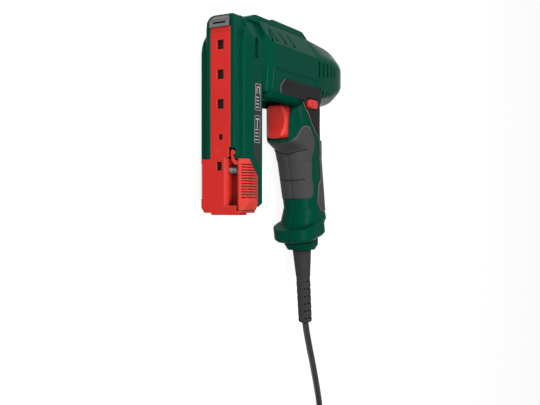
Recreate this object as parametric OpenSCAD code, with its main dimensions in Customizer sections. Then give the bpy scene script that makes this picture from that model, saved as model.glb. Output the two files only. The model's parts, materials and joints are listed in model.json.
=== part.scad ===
// Corded electric staple gun, lying on its right side.
// Design frame: X back from the working face, Y up from the barrel axis,
// Z to the left from the mid-plane. The last module turns it to the rest frame.

/* [Working face and magazine] */
// Width of the red magazine cover strip
strip_w = 18.1; // [16:0.1:20]
// Thickness of the cover strip
strip_t = 1.6; // [1.2:0.1:2]
// Height of the staple line above the barrel axis
drive_y = 21.2; // [20:0.1:22]
// Crown width of the staples that it takes
crown_w = 11.4; // [10:0.1:12]
// Width and height of the inspection windows
window = [6.1, 7.4]; // [4:0.1:8]
// Distance between the inspection windows
window_pitch = 22.9; // [20:0.1:25]
// How far the magazine slide pulls down
magazine_travel = 90; // [60:1:92]
// Height of the grip block at the foot of the magazine
block_h = 43.2; // [40:0.1:48]
// Half width of the grip block at its side ribs
block_half_w = 21.2; // [20.4:0.1:22]
// Pitch of the finger ribs
rib_pitch = 2.1; // [1.8:0.05:2.6]

/* [Foot and nose] */
// Half width of the nose tower
tower_half_w = 14.7; // [13.8:0.1:16]
// Half width of the foot behind its cheeks
foot_half_w = 21.4; // [20:0.1:23]
// Depth of the foot from the working face to its back
foot_depth = 29; // [28:0.5:32]
// Distance from the barrel axis down to the end of the foot
foot_drop = 126; // [120:1:132]

/* [Barrel] */
// Overall length from the working face to the end of the dome
tool_length = 190; // [182:0.5:194]
// Half width of the barrel at its side panels
barrel_half_w = 25.5; // [24.8:0.1:27]
// Height of the flat top above the barrel axis
barrel_top = 29; // [28:0.2:31]
// Depth of the barrel floor below its axis
barrel_floor = 29; // [28:0.2:30]
// Where the rear cap starts
cap_x = 115; // [112:0.5:118]
// Half width of the rear cap, the widest part
cap_half_w = 26; // [25.5:0.1:27]
// Rise of the top hump above the flat top
hump_rise = 7; // [4:0.2:9]
// Cooling slots in each side of the rear cap
cap_slots = 5; // [3:1:6]

/* [Handle] */
// Depth of the handle from front to back
handle_depth = 41.5; // [39:0.5:44]
// Width of the handle from side to side
handle_width = 36; // [34:0.5:38]
// Slant of the handle from upright
handle_slant = 12.4; // [10:0.5:15]
// Share of the section left at the lower end of the handle
handle_taper = 0.91; // [0.85:0.01:1]
// Thickness of the soft grip
grip_t = 1.6; // [1.2:0.1:2]
// Wall of the housing round the handle
wall = 2.6; // [2:0.1:3]

/* [Controls] */
// Height of the trigger
trigger_h = 29.5; // [27:0.5:32]
// Half width of the trigger
trigger_half_w = 10; // [9:0.2:11]
// Travel of the trigger
trigger_travel = 6; // [4:0.5:7]
// Travel of the side switch
switch_travel = 4; // [3:0.5:5]

/* [Drive] */
// Radius of the solenoid core
plunger_r = 7; // [6:0.1:7.5]
// Stroke of the driver
drive_stroke = 17; // [14:0.5:18]
// Width of the square solenoid yoke
yoke_w = 36; // [34:0.5:37]

/* [Cord] */
// Diameter of the mains cord
cord_d = 6.2; // [5.6:0.1:7]
// Length of the strain relief
relief_l = 69; // [60:1:76]
// Radius of the strain relief where it leaves the handle
relief_r = 8.6; // [8:0.1:9.4]

/* [Hidden] */
$fn = 48;
far = 300;
gap = 0.3;
fine = 0.1;

green = "#0d4d3a";
red = "#d8322e";
rubber = "#323234";
steel = "#a9abae";

// Heights on the foot
tower_top = barrel_top + 0.4;
foot_end = -foot_drop;
block_end = foot_end - 0.7;
block_top = block_end + block_h;
cheek_x = [2.6, 13];
cheek_top = 19.8;
shoulder_y = 10.7;
crease_y = -8.4;
strip_top = drive_y - 3.2;

// Barrel stations
step_x = 32;
hump_x = [50, 64, 112, 121];
hump_half_w = 13;
front_rise = 4.2;

// Handle: the axis passes through handle_at and runs down along the slant
handle_at = [126.2, -63];
handle_r = 16;
handle_run = 76;
flange_s = 82;
flange_h = 10;
flange_size = [46, 40];
flange_in = flange_size - [0.1, 0.1];
flange_shift = -13.5;
flange_climb = 9;
collar_size = [29, 28.5];
collar_top = -148;
collar_end = -160.5;
collar_x = 133.5;
relief_tilt = 10.5;
relief_drop = 2.5;

half_d = handle_depth / 2;

// Trigger
trigger_x = 83.2;
trigger_back = trigger_x + 14.3;
well_back = trigger_back + trigger_travel + 0.7;
trigger_y = [-31.8 - trigger_h, -31.8];
lip_x = 93;

// Side switch
switch_at = [110.7, -30.5];
switch_size = [16, 9];
switch_seat = 20.9;

// Drive
yoke_x = [62, 118];
bobbin_r = yoke_w / 2 - 3;
bumper_x = [22, 26.5];
carrier_x = [bumper_x[1] + drive_stroke + 0.5, bumper_x[1] + drive_stroke + 6.5];
plunger_back = 108;

// Magazine inside
channel_x = 16.6;
channel_half_w = crown_w / 2 + 0.5;
rail_half_w = 4.4;
rail_x = [3, 12.6];
rod_r = 1.2;
rod_at = 8.6;
pusher_h = 9;
pusher_top = drive_y - 2;

// Rest frame: centre of the box in plan, standing surface at the widest side
plate_proud = 1.8;
relief_end = collar_end - relief_l * cos(relief_tilt) * cos(relief_drop) - 6.1 * sin(relief_tilt);
rest_shift = [-(tool_length - plate_proud) / 2, -(barrel_top + hump_rise + relief_end) / 2,
    cap_half_w];

// ---------------------------------------------------------------- helpers

// Sweeps an outline given as [y, z] along X
module along_x(x0, x1) {
    translate([x0, 0, 0]) rotate([90, 0, 90]) linear_extrude(x1 - x0) children();
}

// Sweeps an outline given as [x, z] along Y
module along_y(y0, y1) {
    translate([0, y1, 0]) rotate([90, 0, 0]) linear_extrude(y1 - y0) children();
}

// Sweeps an outline given as [x, y] along Z
module across(z0, z1) {
    translate([0, 0, z0]) linear_extrude(z1 - z0) children();
}

module both_sides() {
    children();
    mirror([0, 0, 1]) children();
}

// Closes a half outline given on the left by its mirror image on the right
function both(pts) =
    concat(pts, [for (i = [len(pts) - 1:-1:0]) [pts[i][0], -pts[i][1]]]);

module block(from, to) {
    translate(from) cube(to - from);
}

module rod_x(x0, x1, r, at = [0, 0]) {
    translate([x0, at[0], at[1]]) rotate([0, 90, 0]) cylinder(r = r, h = x1 - x0);
}

module rod_y(y0, y1, r, at = [0, 0]) {
    translate([at[0], y0, at[1]]) rotate([-90, 0, 0]) cylinder(r = r, h = y1 - y0);
}

module rod_z(z0, z1, r, at = [0, 0]) {
    translate([at[0], at[1], z0]) cylinder(r = r, h = z1 - z0);
}

module soft_rect(size, r) {
    offset(r = r, $fn = 40) square([size[0] - 2 * r, size[1] - 2 * r], center = true);
}

// One side of the mid-plane, with half of the parting gap
module left_half() {
    intersection() {
        children();
        block([-50, -far, 0.05], [far, far, 60]);
    }
}

module right_half() {
    intersection() {
        children();
        block([-50, -far, -60], [far, far, -0.05]);
    }
}

// A wire coil with closed ends along Z, as one swept solid
module coil(r, length, turns, wire_r, steps = 12, sides = 6) {
    n = turns * steps;
    pitch = (length - 2 * wire_r) / turns;
    lean = atan(pitch / (2 * PI * r));
    points = [for (i = [0:n], k = [0:sides - 1])
        let (a = 360 * i / steps, b = 360 * k / sides,
             out = wire_r * cos(b), up = wire_r * sin(b))
        [(r + out) * cos(a) + up * sin(lean) * sin(a),
         (r + out) * sin(a) - up * sin(lean) * cos(a),
         pitch * i / steps + wire_r + up * cos(lean)]];
    faces = concat(
        [[for (k = [sides - 1:-1:0]) k]],
        [for (i = [0:n - 1], k = [0:sides - 1])
            let (a = i * sides + k, b = i * sides + (k + 1) % sides)
            each [[a, b + sides, a + sides], [a, b, b + sides]]],
        [[for (k = [0:sides - 1]) n * sides + k]]);
    polyhedron(points, faces);
}

// Runs its children in the handle's own frame: Y along the handle, X to the back
module handle_frame() {
    translate([handle_at[0], handle_at[1], 0]) rotate([0, 0, handle_slant]) children();
}

module handle_section(grow = 0) {
    soft_rect([handle_depth + 2 * grow, handle_width + 2 * grow], handle_r + grow);
}

// The tapered handle, grown or shrunk all round, in the handle's own frame
module handle_core(grow = 0, from = 0, to = handle_run) {
    full = 1 - handle_taper;
    translate([0, -from, 0]) rotate([90, 0, 0])
        linear_extrude(to - from, slices = 1, scale = (1 - full * to / handle_run) / (1 - full * from / handle_run))
        scale(1 - full * from / handle_run) handle_section(grow);
}

// ---------------------------------------------------------------- housing form

function foot_plan(side) = [
    [0, 0], [0, tower_half_w - 2.2], [1.6, tower_half_w - 0.4], [cheek_x[0], tower_half_w],
    [cheek_x[1], tower_half_w], [cheek_x[1], side],
    [foot_depth - 1.6, side], [foot_depth, side - 1.6], [foot_depth, 0]];

// The rounded column at the corner of the foot; its crown shrinks to the tower
module cheek_form() {
    crown = [[foot_end, 1], [-1, 1], [5, 0.95], [9.5, 0.85], [13.5, 0.68], [17, 0.45],
        [cheek_top, 0.12]];
    root = [cheek_x[1] + 1, tower_half_w - 1];
    hull() for (c = crown)
        translate([root[0], 0, root[1]]) along_y(c[0], c[0] + 0.2) scale(c[1])
            polygon([[cheek_x[0] - root[0], 0], [cheek_x[0] - root[0], 4.9],
                [cheek_x[0] - root[0] + 0.8, 6.6], [-1, foot_half_w - root[1]],
                [0, foot_half_w - root[1]], [0, 0]]);
}

module foot_form() {
    along_y(foot_end, 12) polygon(both(foot_plan(foot_half_w)));
    both_sides() cheek_form();
    // nose tower with its stepped top
    intersection() {
        along_y(-30, 40) polygon(both([[0, tower_half_w - 2.2], [1.6, tower_half_w - 0.4],
            [cheek_x[0], tower_half_w], [34, tower_half_w]]));
        along_x(-1, 40) polygon(both([[-40, tower_half_w], [drive_y - 4, tower_half_w],
            [tower_top - 1.6, tower_half_w - 4], [tower_top, tower_half_w - 7]]));
        across(-20, 20) polygon([[0, -30], [0, drive_y + 2.4], [1.2, drive_y + 5],
            [4, tower_top - 0.6], [8, tower_top], [34, tower_top], [34, -30]]);
    }
}

// Cross-section of the barrel; side is its half width at the side panels
function barrel_outline(side, slim = 0) = both([
    [-barrel_floor, side - 3.4], [-barrel_floor + 1.4, side - 1.6],
    [crease_y - 1.4, side - 1.1 + slim], [crease_y, side], [shoulder_y, side],
    [barrel_top - 1.2, side - 10.2], [barrel_top, side - 12]]);

module barrel_form() {
    // narrow front, flush with the foot
    along_x(cheek_x[1], step_x + 8) polygon(barrel_outline(foot_half_w, 1.1));
    // wide body, with the chamfered step at its front
    intersection() {
        along_x(step_x, cap_x) polygon(barrel_outline(barrel_half_w));
        along_y(-40, 40) polygon(both([[step_x, foot_half_w - 3],
            [step_x + 0.4, foot_half_w], [step_x + 8, barrel_half_w],
            [cap_x, barrel_half_w]]));
    }
}

// Rounded rear cap: one convex skin through shrinking sections
function cap_scale(t) = pow(1 - pow(t, 3.5), 1 / 2.6);
module cap_form() {
    reach = tool_length - cap_x;
    hull() {
        for (t = [0.12, 0.3, 0.46, 0.6, 0.71, 0.8, 0.87, 0.92, 0.96, 1 - 0.5 / reach])
            translate([0, 2.4 * t * t, 0]) along_x(cap_x + reach * t, cap_x + reach * t + 0.5)
            scale(cap_scale(t)) offset(r = 13, $fn = 32)
            polygon(both([[-16, cap_half_w - 20], [-9, cap_half_w - 13],
                [8, cap_half_w - 13], [16.2, cap_half_w - 19]]));
        along_x(cap_x - 0.1, cap_x + 0.4) polygon(barrel_outline(barrel_half_w + 0.05));
    }
}

module hump_form() {
    intersection() {
        along_x(18, hump_x[3] + 4) polygon(both([[barrel_top - 3, hump_half_w + 1],
            [barrel_top, hump_half_w + 0.6], [barrel_top + hump_rise - 1.4, hump_half_w - 0.8],
            [barrel_top + hump_rise, hump_half_w - 3]]));
        across(-20, 20) polygon([[18, barrel_top - 3], [20, barrel_top],
            [30, barrel_top + front_rise - 0.6], [34, barrel_top + front_rise],
            [hump_x[0] + 3, barrel_top + front_rise],
            [hump_x[1], barrel_top + hump_rise], [hump_x[2] - 3, barrel_top + hump_rise],
            [hump_x[2], barrel_top + hump_rise - 0.8], [hump_x[3], barrel_top - 0.8],
            [hump_x[3], barrel_top - 3]]);
    }
    // low rib behind the hump
    intersection() {
        along_x(hump_x[3] - 2, 152) polygon(both([[10, 9.5], [27, 9], [28.2, 7.4]]));
        across(-20, 20) polygon([[hump_x[3] - 2, 10], [hump_x[3] - 2, 27.6],
            [130, 28.2], [146, 27.2], [151, 24], [151, 10]]);
    }
}

// Throat between barrel and handle, grown or shrunk all round
module neck_core(grow = 0) {
    hull() {
        along_y(-barrel_floor - 1, -barrel_floor + 2) offset(delta = grow)
            polygon([[lip_x - 1, 12], [lip_x + 1, 15.2], [lip_x + 5, 20.2],
                [lip_x + 10, 22.7], [lip_x + 18, 23.2], [124, 23.2], [128, 19], [129, 12],
                // narrower on the side without the switch
                [129, -12], [128, -19], [124, -23.2], [lip_x + 18, -23.2],
                [lip_x + 10, -19.5], [lip_x + 1, -14.5], [lip_x - 1, -12]]);
        handle_frame() along_y(-14, -12) handle_section(grow);
    }
}

// Lip round the trigger and the chin that runs from it into the handle
module chin_core(grow = 0) {
    hull() {
        along_y(-58, -34) offset(delta = grow)
            polygon(both([[lip_x, 13.4], [lip_x + 3, 15.2], [lip_x + 12, 15.8]]));
        along_y(-63 - grow, -60) offset(delta = grow) polygon(both([
            [lip_x - 5, 7.4], [lip_x - 3.6, 10], [lip_x, 12.4], [lip_x + 6, 14.8]]));
        handle_frame() along_y(-4, -2) handle_section(grow);
    }
}

module handle_form() {
    handle_frame() handle_core(0, 12);
    // flare into the flange, widening to the front
    handle_frame() translate([half_d * handle_taper, -57, 0]) rotate([90, 0, 0])
        linear_extrude(flange_s - 57 - flange_h + 0.5, slices = 1, scale = [1.24, 1.14])
        translate([-half_d * handle_taper, 0]) scale(handle_taper + 0.02) handle_section();
    handle_frame() translate([flange_shift, -flange_s, 0]) {
        difference() {
            union() {
                along_y(-1.2, flange_h + 1) soft_rect(flange_size, 14);
                // rounded shoulders of the flange
                translate([0, flange_h + 0.6, 0]) rotate([-90, 0, 0])
                    linear_extrude(6.4, slices = 1, scale = [0.83, 0.8]) soft_rect(flange_in, 13.9);
            }
            // its top climbs to the back
            translate([-flange_size[0] / 2, flange_h - 1.4, 0]) rotate([0, 0, flange_climb])
                block([-10, 0, -30], [60, 20, 30]);
        }
        translate([0, -0.8, 0]) rotate([90, 0, 0])
            linear_extrude(2.6, slices = 1, scale = [0.91, 0.9]) soft_rect(flange_in, 13.9);
    }
    // collar round the cord exit
    translate([collar_x, collar_top + 8, 0]) rotate([90, 0, 0])
        linear_extrude(collar_top + 8 - collar_end - 4.5) soft_rect(collar_size, 11);
    translate([collar_x, collar_end + 4.9, 0]) rotate([90, 0, 0])
        linear_extrude(4.9, slices = 1, scale = [0.82, 0.8]) soft_rect(collar_size - [0.1, 0.1], 10.9);
}

// Block cut-out at the end of the foot, with the slanted shoulder of the ribbed sides
function block_side(grow) = [
    [-5, block_top + grow], [8.5 + grow, block_top + grow],
    [21.6 + grow, block_top - 12.5 + grow / 2], [21.6 + grow, -140], [-5, -140]];

// Room for wiring and cord inside the handle
room_size = [handle_depth, handle_width] * handle_taper - [2, 2] * (grip_t + wall) - [4, 1];

// Outline of the L-shaped side pad
function pad_outline(inset) = [
    [51.2 + inset, -21.2 - inset / 2], [57.8 + inset / 2, -15.3 - inset],
    [125 - inset, -15.3 - inset], [126 - inset, -29], [130.5 - inset, -56.5],
    [127.8 - inset / 2, -58 + inset], [121 + inset, -55 + inset / 2],
    [109.3 + inset, -44.4 + inset / 2], [100 + inset, -33.6 + inset / 2],
    [97, -29.2 + inset], [86, -28.6 + inset], [53 + inset / 2, -28.3 + inset], [51.2 + inset, -26 + inset / 2]];

// Outlines of the soft grips, with the bare strip between them
function front_grip_outline(inset) = [
    [80, -66 - inset], [89.8, -66 - inset], [93.6 + inset, -61.6 - inset],
    [104.6 + inset / 2, -49.2 - inset], [109.4 - inset / 2, -49.2 - inset],
    [116.8 - inset, -56], [121.4 - inset, -60.4], [122.8 - inset, -68],
    [120.6 - inset, -75.5], [123.6 - inset, -97.2], [126 - inset, -100.8],
    [126.4 - inset, -110], [123.8 - inset, -113.8 + inset], [80, -113.8 + inset]];
function rear_grip_outline(inset) = [
    [130 + inset, -60.5 - inset], [165, -60.5 - inset], [165, -125.2 + inset],
    [138.4 + inset, -125.2 + inset], [132.4 + inset, -117.8], [132.8 + inset, -100.8],
    [138 + inset, -95], [137 + inset, -86]];

// Barrel side, throat and handle in one, grown or shrunk all round
module soft_core(grow) {
    along_x(40, 140) polygon(barrel_outline(barrel_half_w + grow));
    neck_core(grow);
    chin_core(grow);
    handle_frame() handle_core(grow, -10);
}

module soft_seats() {
    difference() {
        union() {
            both_sides() across(12, 40) polygon(pad_outline(0));
            across(-40, 40) {
                polygon(front_grip_outline(0));
                polygon(rear_grip_outline(0));
            }
        }
        soft_core(-grip_t);
    }
}

module housing_cuts() {
    well = strip_w / 2 + gap;
    // magazine well, open at the working face
    difference() {
        block([-5, -far, -well], [rail_x[1] + 5, strip_top + fine, well]);
        // pegs that stop the magazine slide when it is pulled down
        both_sides() block([4.4, block_top + 2.5, strip_w / 2 - 0.8], [6, block_top + 4.1, 12]);
    }
    // slanted rear corner at the end of the foot
    across(-far, far) polygon([[34, foot_end + 11.6], [foot_depth, foot_end + 9],
        [15, foot_end + 1.9], [15, foot_end - 20], [34, foot_end - 20]]);
    // seat of the nose plate
    block([-5, strip_top - 0.1, -well], [2.8, drive_y + 5.8, well]);
    // blade way
    block([2.5, strip_top - 1, -crown_w / 2 - gap], [30, drive_y + 1, crown_w / 2 + gap]);
    across(-far, far) polygon(block_side(gap));
    // striker chamber, solenoid pocket and rear room
    block([bumper_x[0], -13, -9.5], [yoke_x[0] + 1, drive_y + 3.2, 9.5]);
    block([yoke_x[0] - gap, -yoke_w / 2 - gap, -yoke_w / 2 - gap],
          [yoke_x[1] + gap, yoke_w / 2 + gap, yoke_w / 2 + gap]);
    rod_x(yoke_x[1], 148, 15.5);
    trigger_well();
    // switch, wiring and cord room in the handle
    block([well_back - 1, -59, -8.6], [well_back + 28, -38, 8.6]);
    handle_frame() along_y(-flange_s - 2, 4) soft_rect(room_size, 6);
    block([switch_at[0] - 5.3, switch_at[1] - 7, 7], [switch_at[0] + 12, switch_at[1] + 7, 16.5]);
    block([112, -44.5, -8], [124, -16, 8]);
    relief_frame() translate([0, 0, -1]) cylinder(r = relief_r - 1.1 + fine, h = 20);
    relief_frame() translate([0, 0, 5]) cylinder(r = relief_r + 1.5 + fine, h = 4);
    relief_frame() translate([0, 0, -8]) cylinder(r = relief_r + gap, h = 8);
}

// Trigger well, with a wider room for the trigger's flange
module trigger_well() {
    block([lip_x - 9, trigger_y[0] - 0.5, -trigger_half_w - 0.4],
          [well_back, trigger_y[1] + 0.5, trigger_half_w + 0.4]);
    block([trigger_back - 2.5, trigger_y[0] - 1.8, -trigger_half_w - 2.2],
          [well_back, trigger_y[1] + 1.8, trigger_half_w + 2.2]);
}

// Cooling slots, as narrow upright cuts in the rear cap
module cap_vents() {
    both_sides() for (i = [0:cap_slots - 1]) {
        x = cap_x + 4 + 8 * i;
        block([x, -6 + 1.2 * i, 18 - 1.5 * i], [x + 2.2, 9 - 0.4 * i, 30]);
        translate([x, 0, 0]) rotate([38, 0, 0])
            block([0.5, -3, 19.5 - i], [2.7, 2.5 - 0.3 * i, 40]);
    }
    // two small slots at the back of the dome
    for (s = [-1, 1], y = [-12, 0, 12])
        block([tool_length - 9, y - 3, s * 15 - 1.2], [tool_length + 1, y + 3, s * 15 + 1.2]);
}

// Chevron vents on the upper bevel of the barrel
module bevel_vents() {
    both_sides() for (i = [0:2])
        translate([49 + 15 * i, shoulder_y + 9, barrel_half_w - 5])
            rotate([-30, 0, 0]) across(-3.2, 12)
            polygon([[-5, -7], [2.2, -7], [0, -5.6], [-4.4, 4.2], [-6.4, 4.2], [-2.6, -5.2]]);
    // wedge over the front step
    both_sides() translate([step_x, shoulder_y + 9, barrel_half_w - 5])
        rotate([-30, 0, 0]) across(-2.4, 12)
        polygon([[3, -9], [8.6, -9], [10.2, 3.4], [8.2, 3], [6.4, -8.2], [3, -8.2]]);
}

// The side slot low on the foot, pointed at its top
module foot_slots() {
    both_sides() across(foot_half_w - 2.6, foot_half_w + 1)
        polygon([[17.1, -4.6], [21.7, -4.6], [21.9, 5], [20.4, 11], [19.4, 12.6],
            [18.4, 11], [17, 5]]);
}

module right_only_cuts() {
    // screw wells
    for (p = screw_places) {
        translate([p[0], p[1], -60]) cylinder(r = 3.4, h = 60 - p[2]);
        translate([p[0], p[1], -60]) cylinder(r = 1.65, h = 62);
    }
}

// Screw axes and the depth of the head seat from the mid-plane
screw_places = [[step_x + 10, -barrel_floor + 9, 15], [cap_x + 21, -21.5, 13],
    [cap_x + 13, 21.5, 13], [foot_depth - 5.2, -60, 14], [foot_depth - 5.2, -30, 14],
    [116, -143.4, 13]];

module shell_form() {
    difference() {
        union() {
            foot_form();
            barrel_form();
            cap_form();
            hump_form();
            neck_core();
            chin_core();
            handle_form();
        }
        housing_cuts();
        cap_vents();
        bevel_vents();
        foot_slots();
        soft_seats();
        // shadow line at the root of the hump
        both_sides() along_x(26, hump_x[3] - 1)
            polygon([[barrel_top - 0.9, hump_half_w + 0.5], [barrel_top + 0.5, hump_half_w + 0.2],
                [barrel_top + 0.5, hump_half_w + 2], [barrel_top - 0.9, hump_half_w + 1.6]]);
    }
}

// Recess of the side switch and the slot of its stem, with room for its travel
module switch_recess(room) {
    half = switch_size / 2 + [room, room];
    block([switch_at[0] - half[0] - switch_travel, switch_at[1] - half[1], switch_seat],
          [switch_at[0] + half[0], switch_at[1] + half[1], 40]);
    block([switch_at[0] - 3 - room - switch_travel, switch_at[1] - 2.5 - room, 10],
          [switch_at[0] + 3 + room, switch_at[1] + 2.5 + room, 30]);
}

module left_housing() {
    color(green) rest() difference() {
        left_half() shell_form();
        switch_recess(0.4);
        for (p = screw_places)
            rod_z(-1, 9, 1.55, p);
        // seat of the hook that holds the magazine slide up
        block([-1, block_top - 1, 9], [4.2, block_top + 8, 13.2]);
    }
}

module right_housing() {
    color(green) rest() difference() {
        right_half() shell_form();
        right_only_cuts();
    }
}

// ---------------------------------------------------------------- soft pieces

module side_pad(side) {
    color(rubber) difference() {
        intersection() {
            across(min(12 * side, 40 * side), max(12 * side, 40 * side))
                polygon(pad_outline(0.15));
            soft_core(0.45);
        }
        soft_core(-grip_t + fine / 2);
        // panel line near the back of the bar
        both_sides() block([103, -19.6, barrel_half_w - 1.1], [119, -19, barrel_half_w + 2]);
    }
}

module left_side_pad() {
    rest() difference() {
        side_pad(1);
        switch_recess(0.8);
    }
}

module right_side_pad() {
    rest() side_pad(-1);
}

module grip_form(outline, proud) {
    difference() {
        intersection() {
            across(-40, 40) polygon(outline);
            soft_core(proud);
        }
        soft_core(-grip_t + fine / 2);
    }
}

module front_grip() {
    color(rubber) difference() {
        grip_form(front_grip_outline(0.15), 0.4);
        // panel lines across the grip
        difference() {
            across(-40, 40) for (line = [[[85, -70], [97, -72.5], [103, -68], [112, -68], [115, -72]],
                    [[85, -97.5], [116.3, -97.7], [118.5, -95], [124, -94.3]]])
                for (i = [0:len(line) - 2]) panel_line(line[i], line[i + 1]);
            soft_core(-0.3);
        }
        trigger_well();
    }
}

module panel_line(from, to) {
    run = to - from;
    translate(from) rotate(atan2(run[1], run[0])) translate([-0.2, -0.35])
        square([norm(run) + 0.4, 0.7]);
}

module rear_grip() {
    color(rubber) difference() {
        grip_form(rear_grip_outline(0.15), 1.2);
        // steps and cross ribs on the back
        handle_frame() for (y = [-18, -34, -38, -42, -46, -50, -54, -58])
            block([half_d - 0.5, y - 0.7, -10], [half_d + 3, y + 0.7, 10]);
    }
}

module left_front_grip() { rest() left_half() front_grip(); }
module right_front_grip() { rest() right_half() front_grip(); }
module left_rear_grip() { rest() left_half() rear_grip(); }
module right_rear_grip() { rest() right_half() rear_grip(); }

// ---------------------------------------------------------------- magazine

module nose_plate() {
    half = strip_w / 2 + 0.1;
    color(steel) rest() difference() {
        union() {
            intersection() {
                across(-half, half) polygon([[-plate_proud, strip_top + fine],
                    [2.6, strip_top + fine], [2.6, drive_y + 5.6], [1.6, drive_y + 5.6],
                    [-1, drive_y + 2.6], [-plate_proud, drive_y + 1.9]]);
                along_x(-3, 6) polygon([[strip_top, -half], [drive_y + 2.4, -half],
                    [drive_y + 6, -half + 2.6], [drive_y + 6, half - 2.6],
                    [drive_y + 2.4, half], [strip_top, half]]);
            }
        }
        // staple exit
        block([-3, drive_y - 0.65, -crown_w / 2 - 0.25], [6, drive_y + 0.65, crown_w / 2 + 0.25]);
        // groove between the face and the turned-down top
        block([-3, drive_y + 1.9, -half - 1], [-0.6, drive_y + 2.5, half + 1]);
    }
}

module staple_channel() {
    inside = channel_half_w;
    color(steel) rest() difference() {
        block([strip_t + gap, block_top + 11, -inside - 1], [channel_x + 1, strip_top, inside + 1]);
        block([0, -far, -inside], [channel_x, far, inside]);
    }
}

// Rail that the staples straddle: a channel open to the back, closed at its top
module magazine_rail() {
    top = pusher_top + 0.8;
    color(steel) rest() difference() {
        block([rail_x[0], block_end + 5, -rail_half_w], [rail_x[1], top, rail_half_w]);
        block([rail_x[0] + 1, block_end + 6, -rail_half_w + 0.8],
              [rail_x[1] + 1, top - 1.6, rail_half_w - 0.8]);
        rod_y(block_end, far, rod_r + fine / 2, [rod_at, 0]);
    }
}

module guide_rod() {
    color(steel) rest() rod_y(block_end + 5, pusher_top + 0.8, rod_r, [rod_at, 0]);
}

module pusher() {
    out = rail_half_w + gap;
    top = pusher_top - 1.2;
    color(steel) rest() difference() {
        block([strip_t + 0.5, top - pusher_h, -out - 0.8], [rail_x[1] + 1.6, top, out + 0.8]);
        difference() {
            block([rail_x[0] - gap, -far, -out], [rail_x[1] + gap, far, out]);
            // tongue inside the rail
            block([rail_x[0] + 1 + gap, -far, -rail_half_w + 0.8 + gap],
                  [rail_x[1] + 2, far, rail_half_w - 0.8 - gap]);
        }
        rod_y(-far, far, rod_r + 0.08, [rod_at, 0]);
    }
}

module pusher_spring() {
    from = block_end + 6 + fine;
    to = pusher_top - 1.2 - pusher_h - fine;
    color("silver") rest() translate([rod_at, to, 0]) rotate([90, 0, 0])
        coil(2, to - from, 20, 0.4, 9, 5);
}

// Grip block with the cover strip, in one red moulding
slot_z = [6.4, 14];
slot_y = [foot_end + 6.5, block_top + 1.4];
lever_z = 14.4;
pivot = [block_end + 6.4, 16.6];

function block_plan() = [
    [0, -17.8], [7.6, -block_half_w], [21.2, -block_half_w + 0.4], [21.2, block_half_w - 0.6],
    [7.6, block_half_w], [0, 17.8]];

module finger_ribs(side, corner) {
    for (i = [0:12]) {
        y = block_end + 13 + rib_pitch * i;
        translate([0, y, 0]) along_y(0, rib_pitch * 0.5) polygon([
            corner, [7.6, side * (block_half_w - 1)],
            [20.5, side * (block_half_w - 1)], [20.5, side * 25], [corner[0], side * 25]]);
    }
}

module magazine_slide() {
    half = strip_w / 2;
    color(red) rest() {
        difference() {
            union() {
                // cover strip and its folded side flanges
                block([0, block_top - 1, -half], [strip_t, strip_top, half]);
                both_sides() block([0, block_top - 1, half - 1.2], [7, strip_top - 4, half]);
                // grip block
                intersection() {
                    along_y(block_end + 1.6, block_top) polygon(block_plan());
                    across(-30, 30) polygon(block_side(0));
                    along_x(-5, 30) polygon([[block_top + 1, -19.6], [block_top - 1.5, -22],
                        [block_end + 14, -22], [block_end + 5, -17.4], [block_end + 1.2, -14.6],
                        [block_end + 1.2, 17.4], [block_end + 4, 19.4], [block_end + 12, 22],
                        [block_top + 1, 22]]);
                }
                // stepped end plate
                block([0, block_end, -8.5], [12, block_end + 2, 16.5]);
            }
            // ledge below the steel nose
            block([-1, strip_top - 3.6, -20], [0.35, strip_top - 3.2, 20]);
            // inspection windows
            for (i = [0:2])
                window_cut(4.6 - window_pitch * i, window, 0);
            window_cut(-66.6, window * 0.58, 0.2);
            window_cut(-89, [4.8, 6.8], -1);
            // room for rail and pusher, open at the back above the block
            block([strip_t, block_end + 5, -half + 1.2], [rail_x[1] + 5, far, 5.8]);
            block([strip_t, block_top, -half + 1.2], [rail_x[1] + 5, far, half - 1.2]);
            // slots for the stop pegs
            both_sides() block([4, block_top + 2, half - 2],
                [6.4, block_top + 4.6 + magazine_travel, half + 1]);
            // open slot with the latch spring, its inner edge sloped
            along_y(slot_y[0], slot_y[1]) polygon([[-1, slot_z[0] - 3.4], [0, slot_z[0] - 3],
                [strip_t - 0.5, slot_z[0] - 1.2], [strip_t - 0.5, slot_z[0]], [9.5, slot_z[0]],
                [9.5, slot_z[1] + 1], [-1, slot_z[1] + 1]]);
            // seat of the squeeze lever, with room for its swing
            along_x(-1, 30) polygon([[block_end + 3.4, slot_z[1] + 0.1], [block_end + 3.4, 30],
                [block_top + 1, 30], [block_top + 1, slot_z[1] - 2], [block_end + 9, slot_z[1] + 0.1]]);
            // room for the swing of the hook
            block([-1, block_top - 1, half - 1.6], [8, block_top + 9, half + 1]);
            finger_ribs(-1, [-0.2, -16.9]);
        }
        // ears that hold the lever's pin
        difference() {
            for (x = [[4.4, 6.4], [19.2, 21]])
                block([x[0], block_end + 3, 14.8], [x[1], block_end + 8.6, 18.4]);
            rod_x(3, 30, 1, pivot);
        }
    }
}

module window_cut(y, size, z) {
    block([-1, y - size[1] / 2, z - size[0] / 2], [strip_t + 1, y + size[1] / 2, z + size[0] / 2]);
}

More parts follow.
